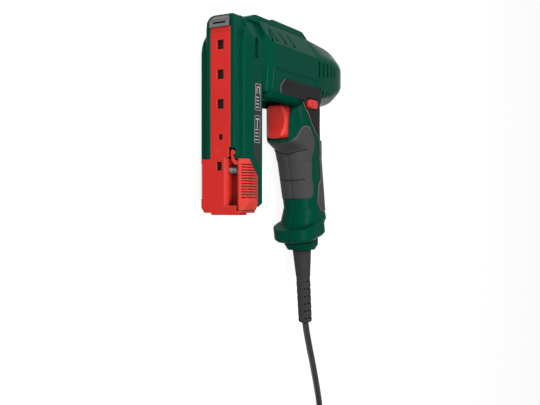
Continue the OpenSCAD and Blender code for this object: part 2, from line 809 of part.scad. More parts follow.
// Squeeze lever with finger ribs and the hook that holds the slide up
module latch_lever() {
    color(red) rest() difference() {
        union() {
            intersection() {
                along_y(block_end + 3.8, block_top) polygon([[2, lever_z],
                    [0, lever_z + 2], [0, 17.8], [7.6, block_half_w],
                    [21.2, block_half_w - 0.4], [21.2, lever_z + 0.2], [10, lever_z]]);
                across(-30, 30) polygon(block_side(0));
                along_x(-5, 30) polygon([[block_top + 1, 0], [block_top + 1, 30],
                    [block_end + 12, 22], [block_end + 4, 19.4], [block_end + 1.2, 16],
                    [block_end + 1.2, 0]]);
            }
            hook_arm();
        }
        finger_ribs(1, [1.4, 17.4]);
        rod_x(4, 30, 1.06, pivot);
        // room for the ears of the block
        for (x = [[4, 6.8], [18.8, 30]])
            block([x[0], block_end, 0], [x[1], block_end + 9.2, 18.8]);
    }
}

module hook_arm() {
    along_x(0.2, 3.6) polygon([
        [block_top - 4.8, 17.6], [block_top - 4.8, 14], [block_top - 3.8, 12.2],
        [block_top - 1.4, 10.4], [block_top + 2.2, 9.6], [block_top + 4.4, 9.5],
        [block_top + 6.2, 9.7], [block_top + 7, 10.6], [block_top + 6.2, 12],
        [block_top + 4.8, 12.6], [block_top + 3.2, 12.4], [block_top + 3.1, 10.9],
        [block_top + 0.8, 11.6], [block_top - 1, 12.8], [block_top - 1.8, 14.6],
        [block_top - 1.8, 17.6]]);
}

module latch_pin() {
    color(steel) rest() rod_x(4.2, 21, 1, pivot);
}

module latch_spring() {
    color("silver") rest() translate([4.6, block_top - 8.6, slot_z[0] + fine])
        coil(2.9, lever_z - slot_z[0] - 2 * fine, 5, 0.4, 12, 6);
}

// ---------------------------------------------------------------- drive

module solenoid_yoke() {
    h = yoke_w / 2;
    color(steel) rest() difference() {
        block([yoke_x[0], -h, -h], [yoke_x[1], h, h]);
        block([yoke_x[0] + 3, -h + 2.4, -far], [yoke_x[1] - 3, h - 2.4, far]);
        rod_x(0, far, plunger_r + 0.1);
    }
}

module solenoid_bobbin() {
    color("#2a2a2a") rest() difference() {
        union() {
            rod_x(yoke_x[0] + 3, yoke_x[1] - 3, plunger_r + 1.6);
            rod_x(yoke_x[0] + 3, yoke_x[0] + 5, bobbin_r);
            rod_x(yoke_x[1] - 5, yoke_x[1] - 3, bobbin_r);
        }
        rod_x(0, far, plunger_r + 0.4);
    }
}

module solenoid_winding() {
    color("#a8572a") rest() difference() {
        rod_x(yoke_x[0] + 5, yoke_x[1] - 5, bobbin_r - 1);
        rod_x(0, far, plunger_r + 1.6);
    }
}

module plunger() {
    color(steel) rest() {
        rod_x(carrier_x[1], plunger_back, plunger_r);
        block([carrier_x[0], -9, -7], [carrier_x[1], drive_y + 2.4, 7]);
    }
}

module driver_blade() {
    color("silver") rest()
        block([channel_x - 0.1 + 0.6, drive_y - 0.55, -crown_w / 2], [carrier_x[0], drive_y + 0.55, crown_w / 2]);
}

module return_spring() {
    color("silver") rest() translate([bumper_x[0] + fine, 0, 0]) rotate([0, 90, 0])
        coil(5.6, carrier_x[0] - bumper_x[0] - 2 * fine, 7, 0.6, 12, 6);
}

module plunger_bumper() {
    color(rubber) rest() difference() {
        block([bumper_x[0], -12.8, -9.2], [bumper_x[1], drive_y - 2.4, 9.2]);
        rod_x(0, far, 6.8);
    }
}

// ---------------------------------------------------------------- controls

module trigger() {
    mid = (trigger_y[0] + trigger_y[1]) / 2;
    color(red) rest() difference() {
        union() {
            intersection() {
                across(-trigger_half_w, trigger_half_w) difference() {
                    translate([(trigger_x + trigger_back) / 2, mid]) offset(r = 3.4, $fn = 28)
                        square([trigger_back - trigger_x - 6.8, trigger_h - 6.8], center = true);
                    // hollow of the finger
                    translate([trigger_x - 30.4, mid + 1.5]) circle(r = 32, $fn = 96);
                }
                // crowned across, from the left side to the right
                along_y(trigger_y[0] - 1, trigger_y[1] + 1)
                    translate([trigger_x + 14, 0]) offset(r = trigger_half_w - 4.4, $fn = 40)
                    square([16.6, 8.8], center = true);
                // rounded at its top and foot
                along_x(trigger_x - 1, trigger_back + 1) translate([mid, 0])
                    offset(r = 3.8, $fn = 32)
                    square([trigger_h - 7.6, 2 * trigger_half_w - 7.6], center = true);
            }
            // flange that keeps the trigger in its well
            block([trigger_back - 2, trigger_y[0] - 1.2, -trigger_half_w - 1.6],
                  [trigger_back, trigger_y[1] + 1.2, trigger_half_w + 1.6]);
        }
        // seat of the spring
        rod_x(trigger_back - 5, far, 3.2, [mid, 0]);
    }
}

module trigger_spring() {
    mid = (trigger_y[0] + trigger_y[1]) / 2;
    color("silver") rest() translate([trigger_back - 5 + fine, mid, 0]) rotate([0, 90, 0])
        coil(2.4, well_back - trigger_back + 5 - 2 * fine, 6, 0.4, 10, 5);
}

module trigger_switch() {
    color("#1c1c1e") rest() {
        block([well_back, -58.7, -8.3], [well_back + 23.7, -38.3, 8.3]);
        // its own push button, and its terminals
        block([well_back - 0.4, -57, -3], [well_back, -52, 3]);
        for (y = [-55, -48, -41])
            block([well_back + 23.7, y - 1, -3], [well_back + 26, y + 1, 3]);
    }
}

module power_switch_body() {
    color("#1c1c1e") rest() block([switch_at[0] - 5, switch_at[1] - 6.7, 7.3],
        [switch_at[0] + 11.7, switch_at[1] + 6.7, 16.2]);
}

module power_switch_button() {
    color(red) rest() {
        // stem
        across(16.5, 22) translate(switch_at) soft_rect([6, 5], 1);
        across(switch_seat + gap, 24.2) translate(switch_at) soft_rect(switch_size, 2.6);
        // domed top and thumb ridge
        translate([switch_at[0], switch_at[1], 24.1])
            linear_extrude(0.8, slices = 1, scale = [0.9, 0.84])
            soft_rect(switch_size - [0.1, 0.1], 2.5);
        across(24.6, 25.4) translate(switch_at) soft_rect([3, switch_size[1] - 3], 1.2);
    }
}

module circuit_board() {
    color("#2f6b3a") rest() {
        rod_x(yoke_x[1] + 4, yoke_x[1] + 5.6, 15.3);
        block([yoke_x[1] + 5.6, -8, -8], [yoke_x[1] + 14, 4, 2]);
        rod_x(yoke_x[1] + 5.6, yoke_x[1] + 16, 4, [4, 7]);
    }
}

module cord_clamp() {
    color(rubber) rest() handle_frame() translate([0, -flange_s + 8, 0]) difference() {
        along_y(0, 8) soft_rect(room_size - [0.6, 0.6], 5.7);
        along_y(-1, 9) circle(r = cord_d / 2);
    }
}

module housing_screws() {
    color("#55565a") rest() for (p = screw_places) {
        translate([p[0], p[1], -p[2]]) difference() {
            translate([0, 0, -2.6]) cylinder(r = 3.1, h = 2.6);
            translate([0, 0, -3]) cylinder(r = 1.5, h = 2, $fn = 6);
        }
        rod_z(-p[2], 8, 1.5, p);
    }
}

// ---------------------------------------------------------------- cord

// Frame of the strain relief: Z runs up along it, the end face is at zero
relief_top = [134.6, collar_end, 0];
module relief_frame() {
    translate(relief_top) rotate([0, 0, relief_tilt]) rotate([-90 + relief_drop, 0, 0])
        children();
}

module strain_relief() {
    rows = 6;
    color(rubber) rest() relief_frame() difference() {
        union() {
            rotate_extrude() polygon([[0, -relief_l], [6.1, -relief_l], [6.3, -relief_l + 1],
                [6.6, -28], [6.2, -27], [6.7, -25], [relief_r, 0], [relief_r, 0.0],
                [relief_r - 1.1, 0], [relief_r - 1.1, 5.2], [relief_r + 1.5, 5.2],
                [relief_r + 1.5, 8.8], [relief_r - 2, 8.8], [relief_r - 2, 14], [0, 14]]);
        }
        for (i = [0:rows - 1]) translate([0, 0, -29.4 - 7.1 * i]) relief_slot();
        // bore of the cord above the end
        translate([0, 0, 8]) cylinder(r = cord_d / 2, h = 10);
    }
}

// One row of slots: a ring cut on the left and right, with two thin webs in each
module relief_slot() {
    intersection() {
        difference() {
            cylinder(r = 9, h = 2.3, center = true);
            cylinder(r = 4.1, h = 3, center = true);
            for (a = [45, -45]) rotate([0, 0, a])
                cube([20, 1.1, 4], center = true);
        }
        cube([11.2, 20, 4], center = true);
    }
}

// Route of the free cord, from the strain relief to the coil on the surface
cord_route = [
    [147.3, -229.3, -3.1], [149.7, -235.4, -3.5], [153.4, -242.6, -4.2], [161.2, -256, -5.8],
    [171.9, -271.6, -8.2], [182.8, -287.3, -11], [194.6, -303.7, -14.3], [206, -322, -17.5],
    [214.4, -337, -19.9], [220.4, -351, -21.1], [223.6, -363, -21.5], [224.6, -374.7, -21.6]];
// Coil: two layers of four turns
coil_at = [180.2, -374.7];
turn_pitch = cord_d + 0.1;
turn_r = [for (i = [0:3]) 25.5 + turn_pitch * i];
turn_z = -21.6;
coil_mean = (turn_r[0] + turn_r[3]) / 2;
coil_size = [turn_r[3] - turn_r[0] + cord_d, turn_pitch + cord_d];
coil_low = turn_z - cord_d / 2;
// Route of the short lead from the coil to the plug
lead_route = [
    [180.2, -419.1, -15.3], [169, -419.1, -15.3], [159, -419.1, -14.9], [149, -419.1, -14.1],
    [141, -419.1, -13.5], [135.6, -419.1, -13.5]];
plug_at = [135.6, -419.1, -13.5];

// Sweeps a round tube along a list of points
function unit(v) = v / norm(v);
function tangent(p, i) = unit(p[min(i + 1, len(p) - 1)] - p[max(i - 1, 0)]);
function curve_point(p, i, t) =
    let (a = p[max(i - 1, 0)], b = p[i], c = p[i + 1], d = p[min(i + 2, len(p) - 1)])
    0.5 * (2 * b + (c - a) * t + (2 * a - 5 * b + 4 * c - d) * t * t
        + (3 * b - a - 3 * c + d) * t * t * t);
function smooth_route(p, n) = concat(
    [for (i = [0:len(p) - 2], k = [0:n - 1]) curve_point(p, i, k / n)], [p[len(p) - 1]]);
module tube(route, r, sides = 10) {
    n = len(route);
    points = [for (i = [0:n - 1], k = [0:sides - 1])
        let (t = tangent(route, i), u = unit(cross(t, [0, 0, 1])), v = cross(u, t),
             a = 360 * k / sides)
        route[i] + r * (cos(a) * u + sin(a) * v)];
    faces = concat(
        [[for (k = [sides - 1:-1:0]) k]],
        [for (i = [0:n - 2], k = [0:sides - 1])
            let (a = i * sides + k, b = i * sides + (k + 1) % sides)
            each [[a, b, b + sides], [a, b + sides, a + sides]]],
        [[for (k = [0:sides - 1]) (n - 1) * sides + k]]);
    polyhedron(points, faces);
}

module power_cord() {
    color(rubber) rest() tube(smooth_route(cord_route, 2), cord_d / 2);
}

module cord_coil() {
    color(rubber) rest() translate([coil_at[0], coil_at[1], coil_low]) rotate_extrude()
        translate([coil_mean, coil_size[1] / 2]) soft_rect(coil_size, 2.8);
}

module cord_tie() {
    color("#202022") rest()
        translate([coil_at[0] - 6, coil_at[1] + coil_mean, coil_low + coil_size[1] / 2])
        rotate([90, 0, 90]) linear_extrude(12) difference() {
            soft_rect(coil_size + [1.5, 1.5], 3.5);
            soft_rect(coil_size + [0.1, 0.1], 2.8);
        }
}

module plug_lead() {
    color(rubber) rest() tube(smooth_route(lead_route, 2), cord_d / 2);
}

// Flat two-pin plug lying on its broad side, pins along -X
plug_size = [36, 23.6];
module plug_body() {
    color(rubber) rest() translate(plug_at) {
        // sleeve
        rotate([0, -90, 0]) rotate_extrude() polygon([[cord_d / 2 + 0.05, 0], [4.6, 0],
            [5.4, 18], [8, 22], [0, 22], [0, 14], [cord_d / 2 + 0.05, 14]]);
        translate([-18, 0, 0]) rotate([0, -90, 0]) rotate([0, 0, 90])
            linear_extrude(14, slices = 1, scale = [1.56, 1.28]) soft_rect([23, 18.4], 8);
        translate([-52, 0, 0]) rotate([90, 0, 90]) linear_extrude(20.1) soft_rect(plug_size, 11);
    }
}

module plug_pins() {
    color(steel) rest() for (s = [-1, 1]) translate(plug_at + [-52, s * 9.5, 0]) rotate([0, -90, 0]) {
        cylinder(r = 2.4, h = 17.5);
        translate([0, 0, 17.5]) cylinder(r1 = 2.4, r2 = 1.4, h = 1.5);
    }
}

// ---------------------------------------------------------------- rest frame

module rest() {
    translate(rest_shift) children();
}

left_housing();
right_housing();
left_side_pad();
right_side_pad();
left_front_grip();
right_front_grip();
left_rear_grip();
right_rear_grip();
housing_screws();
nose_plate();
staple_channel();
magazine_slide();
magazine_rail();
guide_rod();
pusher();
pusher_spring();
latch_lever();
latch_pin();
latch_spring();
solenoid_yoke();
solenoid_bobbin();
solenoid_winding();
plunger();
driver_blade();
return_spring();
plunger_bumper();
trigger();
trigger_spring();
trigger_switch();
power_switch_body();
power_switch_button();
circuit_board();
cord_clamp();
strain_relief();
power_cord();
cord_coil();
cord_tie();
plug_lead();
plug_body();
plug_pins();
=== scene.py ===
"""Corded electric staple gun: camera, cord, finishes and dressed pieces."""
import json
import math

import bmesh
import bpy
from mathutils import Matrix, Vector
from mathutils.bvhtree import BVHTree


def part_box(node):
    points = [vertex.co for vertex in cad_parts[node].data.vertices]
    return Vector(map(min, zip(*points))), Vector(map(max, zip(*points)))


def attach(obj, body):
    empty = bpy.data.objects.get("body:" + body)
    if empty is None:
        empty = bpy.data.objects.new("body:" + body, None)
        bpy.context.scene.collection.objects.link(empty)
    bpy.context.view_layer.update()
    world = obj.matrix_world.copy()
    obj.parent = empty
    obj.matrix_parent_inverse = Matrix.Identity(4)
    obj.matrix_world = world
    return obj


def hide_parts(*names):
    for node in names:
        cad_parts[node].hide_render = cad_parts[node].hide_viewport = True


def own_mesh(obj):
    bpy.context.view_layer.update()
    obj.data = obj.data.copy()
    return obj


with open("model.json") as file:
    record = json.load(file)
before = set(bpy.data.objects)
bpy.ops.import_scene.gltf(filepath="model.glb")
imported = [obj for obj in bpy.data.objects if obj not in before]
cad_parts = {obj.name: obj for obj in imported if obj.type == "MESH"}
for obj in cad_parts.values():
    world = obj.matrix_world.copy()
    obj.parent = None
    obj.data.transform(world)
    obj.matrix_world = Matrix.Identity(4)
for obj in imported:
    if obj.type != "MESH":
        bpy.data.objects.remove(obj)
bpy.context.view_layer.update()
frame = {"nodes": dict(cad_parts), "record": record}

scene = bpy.context.scene
nodes = frame["nodes"]

# The construction drawing's own axes, in millimetres: X back from the working
# face, Y up from the barrel's axis, Z left from the mid-plane.
DRAWING_AT = Vector((-94.1, 96.6958, 26.0))
# Height of the mid-plane, where the two half shells part, in metres.
PARTING_HEIGHT = DRAWING_AT.z / 1000
# Each side of the mid-plane, with the sign of its Z.
SIDES = (("left", 1), ("right", -1))


def place(x, y, z):
    """A point of the construction drawing, in metres in the shared frame."""
    return (Vector((x, y, z)) + DRAWING_AT) / 1000


# ------------------------------------------------------------------- camera

def set_camera():
    camera = bpy.data.objects.new("camera", bpy.data.cameras.new("camera"))
    camera.data.lens, camera.data.sensor_width = 50, 36
    camera.data.clip_start, camera.data.clip_end = 0.01, 20
    right, up = Vector((0.503, 0, 0.864)).normalized(), Vector((0, 1, 0))
    turned = Matrix((right, up, right.cross(up))).transposed().to_4x4()
    camera.matrix_world = Matrix.Translation((-0.5735, -0.0203, 0.3494)) @ turned
    scene.collection.objects.link(camera)
    scene.camera = camera


set_camera()

# --------------------------------------------------------------------- cord

CORD_WIDTH = 6.2
TURN_STEP = CORD_WIDTH + 0.1
COIL_CENTRE = (180.2, -374.7)
INNER_TURN, OUTER_TURN = 25.5, 25.5 + 3 * TURN_STEP
LOW_TURNS, HIGH_TURNS = -21.6, -15.3
FREE_RUN = [
    (147.3, -229.3, -3.1), (149.7, -235.4, -3.5), (153.4, -242.6, -4.2), (161.2, -256, -5.8),
    (171.9, -271.6, -8.2), (182.8, -287.3, -11), (194.6, -303.7, -14.3), (206, -322, -17.5),
    (214.4, -337, -19.9), (220.4, -351, -21.1), (223.6, -363, -21.5)]
PLUG_RUN = [(169, -420.6, -15.3), (159, -420.2, -14.9), (149, -419.6, -14.1),
            (141, -419.2, -13.5), (133.6, -419.1, -13.5)]
POINTS_A_TURN = 24


def coil_run():
    """Down-layer wound inwards, one turn that climbs, up-layer wound outwards."""
    run = []
    for i in range(int(7.25 * POINTS_A_TURN) + 1):
        turn = i / POINTS_A_TURN
        if turn <= 3:
            radius = OUTER_TURN - TURN_STEP * turn
        else:
            radius = INNER_TURN + TURN_STEP * max(0, turn - 4)
        climb = min(max((turn - 3.72) / 0.28, 0), 1)
        climb = climb * climb * (3 - 2 * climb)
        angle = -2 * math.pi * turn
        run.append((COIL_CENTRE[0] + radius * math.cos(angle),
                    COIL_CENTRE[1] + radius * math.sin(angle),
                    LOW_TURNS + (HIGH_TURNS - LOW_TURNS) * climb))
    return run


def smooth_line(name, points, width, finish=None):
    """A round cord along drawing points, as one open curve."""
    curve = bpy.data.curves.new(name, "CURVE")
    curve.dimensions, curve.resolution_u = "3D", 4
    curve.bevel_depth, curve.bevel_resolution = 1, 5
    curve.use_fill_caps = True
    spline = curve.splines.new("BEZIER")
    spline.bezier_points.add(len(points) - 1)
    for knot, point in zip(spline.bezier_points, points):
        knot.co = place(*point)
        knot.handle_left_type = knot.handle_right_type = "AUTO"
        knot.radius = width / 2000
    piece = bpy.data.objects.new(name, curve)
    scene.collection.objects.link(piece)
    if finish:
        curve.materials.append(finish)
    return piece


def run_length(points):
    """Length of a run of drawing points in metres, along its straight steps."""
    total = sum((Vector(b) - Vector(a)).length for a, b in zip(points, points[1:]))
    return total / 1000


cord_points = FREE_RUN + coil_run() + PLUG_RUN
cord = smooth_line("mains_cord", cord_points, CORD_WIDTH)
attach(cord, "housing")
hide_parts("power_cord", "cord_coil", "plug_lead")

# ------------------------------------------------------------- shader maths


class Wire:
    """One output in a material, which Python's operators work on."""

    def __init__(self, finish, socket):
        self.finish, self.socket = finish, socket

    def _math(self, operation, *values):
        return self.finish.node("Math", dict(enumerate(values)), operation=operation)

    def __add__(self, other):
        return self._math("ADD", self, other)

    def __sub__(self, other):
        return self._math("SUBTRACT", self, other)

    def __rsub__(self, other):
        return self._math("SUBTRACT", other, self)

    def __mul__(self, other):
        return self._math("MULTIPLY", self, other)

    def __truediv__(self, other):
        return self._math("DIVIDE", self, other)

    def __lt__(self, other):
        return self._math("LESS_THAN", self, other)

    __radd__, __rmul__ = __add__, __mul__

    def clamp(self):
        return self.finish.node("Clamp", {0: self})

    def away(self, centre):
        """Distance of this value from the centre."""
        return self._math("ABSOLUTE", self - centre)

    def either(self, other):
        """The larger of two masks."""
        return self._math("MAXIMUM", self, other)


class Finish:
    """A material with one Principled shader, in metres on the part's own axes."""

    def __init__(self, name, **constants):
        self.material = bpy.data.materials.new(name)
        self.material.use_nodes = True
        self.tree = self.material.node_tree
        self.shader = self.tree.nodes["Principled BSDF"]
        for socket, value in constants.items():
            self.shader.inputs[socket.replace("_", " ")].default_value = value
        self.at = self.node("TexCoord", output="Object")

    def link(self, socket, value):
        if isinstance(value, Wire):
            self.tree.links.new(value.socket, socket)
        elif isinstance(value, (tuple, list)) and len(value) == 3 and socket.type == "RGBA":
            socket.default_value = (*value, 1)
        else:
            socket.default_value = value

    def node(self, kind, inputs=None, output=0, **settings):
        """Adds a node: its settings first, then its sockets by name or number."""
        made = self.tree.nodes.new("ShaderNode" + kind)
        for setting, value in settings.items():
            setattr(made, setting, value)
        for socket, value in (inputs or {}).items():
            self.link(made.inputs[socket], value)
        return Wire(self, made.outputs[output])

    def noise(self, size, detail=3, along=None):
        """Noise from 0 to 1 with features of that size in metres."""
        at = self.at if along is None else self.node(
            "VectorMath", {0: self.at, 1: along}, operation="MULTIPLY")
        return self.node("TexNoise", {"Vector": at, "Scale": 1 / size, "Detail": detail})

    def axes(self):
        split = self.node("SeparateXYZ", {0: self.at})
        return [Wire(self, split.socket.node.outputs[i]) for i in range(3)]

    def mix(self, factor, below, above):
        """Colour below, with colour above where the factor is 1."""
        made = self.tree.nodes.new("ShaderNodeMix")
        made.data_type = "RGBA"
        for number, value in ((0, factor), (6, below), (7, above)):
            self.link(made.inputs[number], value)
        return Wire(self, made.outputs[2])

    def rounded(self, radius):
        """The surface's direction, eased over that radius at its edges, and a mask of the edges."""
        eased = self.node("Bevel", {"Radius": radius}, samples=6)
        plain = self.node("NewGeometry", output="Normal")
        turn = self.node("VectorMath", {0: eased, 1: plain}, output="Value",
                         operation="DOT_PRODUCT")
        return eased, ((1 - turn) * 5).clamp()

    def recess(self, reach):
        """Mask of slots and grooves narrower than that reach."""
        open_sky = self.node("AmbientOcclusion", {"Distance": reach}, output="AO",
                             samples=6, only_local=True)
        return ((0.9 - open_sky) * 2.4).clamp()

    def ridges(self, start=0.53):
        """Masks of the mesh's own sharp ridges, and of its hollows."""
        bend = self.node("NewGeometry", output="Pointiness")
        return ((bend - start) * 12).clamp(), ((0.485 - bend) * 14).clamp()

    def off_seam(self):
        """Mask that is 0 along the parting line of the two half shells."""
        _, _, z = self.axes()
        return ((z.away(PARTING_HEIGHT) - 0.0011) * 3000).clamp()

    def paint(self, **values):
        for socket, value in values.items():
            self.link(self.shader.inputs[socket.replace("_", " ")], value)

    def relief(self, height, depth, eased=None):
        """Bumps of that depth in metres, over the eased surface."""
        inputs = {"Height": height, "Distance": depth, "Strength": 1.0}
        if eased:
            inputs["Normal"] = eased
        self.paint(Normal=self.node("Bump", inputs))
        return self.material


# ----------------------------------------------------------------- finishes

# Each shade, then the lighter colour its edges are painted for wear and painted highlight.
GREEN, GREEN_WEAR_AND_HIGHLIGHT = (0.0004, 0.062, 0.036), (0.03, 0.2, 0.13)
RED, RED_WEAR_AND_HIGHLIGHT = (0.63, 0.027, 0.021), (0.86, 0.13, 0.09)
RUBBER, RUBBER_WEAR_AND_HIGHLIGHT = (0.034, 0.032, 0.034), (0.11, 0.11, 0.112)


def moulded(name, shade, wear_and_highlight_colour, edge=0.0007, gloss=0.34, texture=0.00035, depth=0.000012,
            shine=0.1, slots=0.005, wear_and_highlight_share=0.5, fine_mesh=True):
    """Injection-moulded plastic: fine spark texture, faint flow tone, eased edges painted lighter
    for wear and highlight, and painted shade in slots and hollows.
    """
    f = Finish(name, IOR=1.5, Specular_IOR_Level=shine)
    eased, edges = f.rounded(edge)
    flow, grain = f.noise(0.03, 2), f.noise(texture, 2)
    # Ambient occlusion picks out slots and grooves, and pointiness the hollows, for painted shade.
    slot = f.recess(slots)
    if fine_mesh:
        ridge_wear_and_highlight, hollow_shade = f.ridges()
        edges, slot = edges.either(ridge_wear_and_highlight) * f.off_seam(), slot.either(hollow_shade * 0.6)
    # Edges painted lighter: partly wear, partly painted highlight.
    wear_and_highlight = (edges * (0.45 + 0.8 * f.noise(0.004))).clamp()
    tone = f.mix((flow - 0.3).clamp(), shade, tuple(0.82 * c for c in shade))
    # Painted shade: slots and hollows darken to a fifth of the shade.
    tone = f.mix(slot, tone, tuple(0.2 * c for c in shade))
    f.paint(Base_Color=f.mix(wear_and_highlight * wear_and_highlight_share, tone, wear_and_highlight_colour),
            Roughness=gloss + 0.12 * grain + 0.06 * flow)
    return f.relief(grain, depth, eased)


def soft_rubber(name, shade=RUBBER, wear_and_highlight_colour=RUBBER_WEAR_AND_HIGHLIGHT, edge=0.0005, grain_size=0.0006):
    """Soft-touch rubber: pebbled skin, dull sheen, edges painted lighter for dust and highlight,
    and painted shade in hollows.
    """
    f = Finish(name, IOR=1.45, Specular_IOR_Level=0.1, Sheen_Weight=0.03, Sheen_Roughness=0.5)
    eased, edges = f.rounded(edge)
    pebble = f.node("TexVoronoi", {"Vector": f.at, "Scale": 1 / grain_size}, feature="F1")
    dust = f.noise(0.008, 4)
    ridge_wear_and_highlight, hollow_shade = f.ridges(0.508)
    tone = f.mix((dust - 0.35).clamp() * 0.6, shade, tuple(1.5 * c for c in shade))
    # Painted shade in the hollows.
    tone = f.mix(hollow_shade * 0.8, tone, tuple(0.25 * c for c in shade))
    # Edges painted lighter: partly dust, partly painted highlight.
    edges = edges.either(ridge_wear_and_highlight) * f.off_seam()
    f.paint(Base_Color=f.mix((edges * (0.4 + dust)).clamp() * 0.75, tone, wear_and_highlight_colour),
            Roughness=0.5 + 0.12 * pebble + 0.1 * dust)
    return f.relief(pebble, 0.00002, eased)


def bare_steel(name, shade, along=(1, 1, 1), streak=0.0004, rough=0.28, edge=0.0003):
    """Rolled or ground steel, with streaks drawn out along one axis and edges painted brighter as a
    highlight.
    """
    f = Finish(name, Metallic=1.0)
    eased, edges = f.rounded(edge)
    lines, cloud = f.noise(streak, 3, along), f.noise(0.006, 3)
    tone = f.mix((lines * 0.5 + cloud * 0.4).clamp(), tuple(0.72 * c for c in shade), shade)
    # Edges painted brighter as a highlight.
    f.paint(Base_Color=f.mix(edges * 0.6, tone, tuple(min(1, 1.3 * c) for c in shade)),
            Roughness=rough + 0.2 * lines + 0.08 * cloud)
    return f.relief(lines, 0.000006, eased)


def wound_copper(name):
    """Enamelled copper wire laid side by side round the coil."""
    f = Finish(name, Metallic=0.9)
    x, _, _ = f.axes()
    strand = f.node("Math", {0: x / 0.0006, 1: 0.5}, operation="PINGPONG")
    tone = f.mix(strand * 1.6, (0.2, 0.06, 0.02), (0.62, 0.24, 0.09))
    f.paint(Base_Color=tone, Roughness=0.25 + 0.2 * f.noise(0.002))
    return f.relief(strand, 0.00025)


def printed_board(name):
    """Circuit board with lacquered copper tracks."""
    f = Finish(name, IOR=1.5)
    track = f.node("TexBrick", {"Vector": f.at, "Scale": 260.0, "Mortar Size": 0.09},
                   output="Fac")
    f.paint(Base_Color=f.mix(track, (0.012, 0.09, 0.035), (0.05, 0.2, 0.08)),
            Roughness=0.3 + 0.15 * f.noise(0.001))
    return f.relief(track, 0.00004)


def cord_skin(name):
    """Smooth black jacket, polished where it has been handled."""
    f = Finish(name, IOR=1.5)
    scuff, grain = f.noise(0.006, 4), f.noise(0.0006, 2)
    f.paint(Base_Color=f.mix((scuff - 0.4).clamp(), (0.012, 0.012, 0.013), (0.035, 0.035, 0.036)),
            Roughness=0.26 + 0.18 * scuff + 0.06 * grain)
    return f.relief(grain, 0.00001)


def sheet_stack(name, shade):
    """Stacked electrical sheets: thin dark seams across the pile."""
    f = Finish(name, Metallic=0.8)
    _, _, z = f.axes()
    seam = f.node("Math", {0: z / 0.001, 1: 0.5}, operation="PINGPONG") < 0.12
    f.paint(Base_Color=f.mix(seam * 0.7, shade, (0.05, 0.045, 0.04)),
            Roughness=0.4 + 0.2 * f.noise(0.003))
    return f.relief(1 - seam, 0.00004)


green = moulded("green_housing_plastic", GREEN, GREEN_WEAR_AND_HIGHLIGHT, gloss=0.16, shine=0.018, wear_and_highlight_share=0.3)
red = moulded("red_control_plastic", (0.68, 0.03, 0.024), RED_WEAR_AND_HIGHLIGHT, gloss=0.3, depth=0.000008,
              shine=0.3)
# Painted shade reaches deeper here, into the cover's slot and windows.
cover_red = moulded("magazine_cover_plastic", RED, RED_WEAR_AND_HIGHLIGHT, gloss=0.3, depth=0.000008,
                    slots=0.009, wear_and_highlight_share=0.8, fine_mesh=False)
lever_red = moulded("squeeze_lever_plastic", (0.66, 0.05, 0.038), (0.86, 0.2, 0.14), edge=0.0004,
                    wear_and_highlight_share=0.7, fine_mesh=False)
black = moulded("black_part_plastic", (0.02, 0.02, 0.021), (0.07, 0.07, 0.07), edge=0.0003)
natural = moulded("natural_nylon", (0.6, 0.57, 0.5), (0.75, 0.72, 0.66), edge=0.0003)
pad_rubber = soft_rubber("side_pad_rubber", (0.012, 0.0115, 0.012))
grip_rubber = soft_rubber("handle_grip_rubber", (0.056, 0.055, 0.056))
dull_green = moulded("green_fairing_plastic", GREEN, GREEN_WEAR_AND_HIGHLIGHT, gloss=0.6, shine=0.0, wear_and_highlight_share=0.1,
                     fine_mesh=False)
# Lighter green beads that paint the highlight along the barrel's step edges.
green_step_highlight = moulded("green_step_highlight_plastic", (0.012, 0.13, 0.08), GREEN_WEAR_AND_HIGHLIGHT, gloss=0.2, shine=0.06,
                     wear_and_highlight_share=0.3)
# Pale rubber beads that paint the highlight along the pads' and grips' edges.
pad_edge_highlight = soft_rubber("side_pad_edge_highlight_rubber", (0.13, 0.125, 0.12), (0.2, 0.2, 0.19))
line_rubber = soft_rubber("grip_line_rubber", (0.01, 0.01, 0.01), (0.03, 0.03, 0.03))
relief_rubber = soft_rubber("strain_relief_rubber", (0.036, 0.036, 0.037), grain_size=0.0004)
bumper_rubber = soft_rubber("bumper_rubber", (0.02, 0.02, 0.02))
plug_skin = soft_rubber("plug_rubber", (0.018, 0.018, 0.019), grain_size=0.0005)
tie_band = soft_rubber("tie_band", (0.022, 0.022, 0.024), grain_size=0.0003)
cord_jacket = cord_skin("cord_jacket")
nose_steel = bare_steel("nose_plate_steel", (0.17, 0.17, 0.175), (8, 1, 1))
# Painted shade and painted red bounce light: the rails, seen through the cover's windows, are
# coloured dark and reddish.
shaded_rail_steel = bare_steel("shaded_rail_steel", (0.045, 0.034, 0.031), (1, 0.05, 1), rough=0.6)
blade_steel = bare_steel("driver_blade_steel", (0.55, 0.55, 0.57), (0.06, 1, 1))
core_steel = bare_steel("turned_core_steel", (0.48, 0.48, 0.49), (1, 0.1, 0.1))
wire_steel = bare_steel("spring_wire_steel", (0.3, 0.3, 0.31), streak=0.0008, rough=0.24)
pin_steel = bare_steel("plated_pin_steel", (0.7, 0.69, 0.66), (0.1, 1, 1), rough=0.16)
screw_steel = bare_steel("blackened_screw_steel", (0.16, 0.16, 0.17), rough=0.34)
copper = wound_copper("winding_copper")
board = printed_board("circuit_board_lacquer")
yoke_sheets = sheet_stack("yoke_sheets", (0.3, 0.3, 0.31))

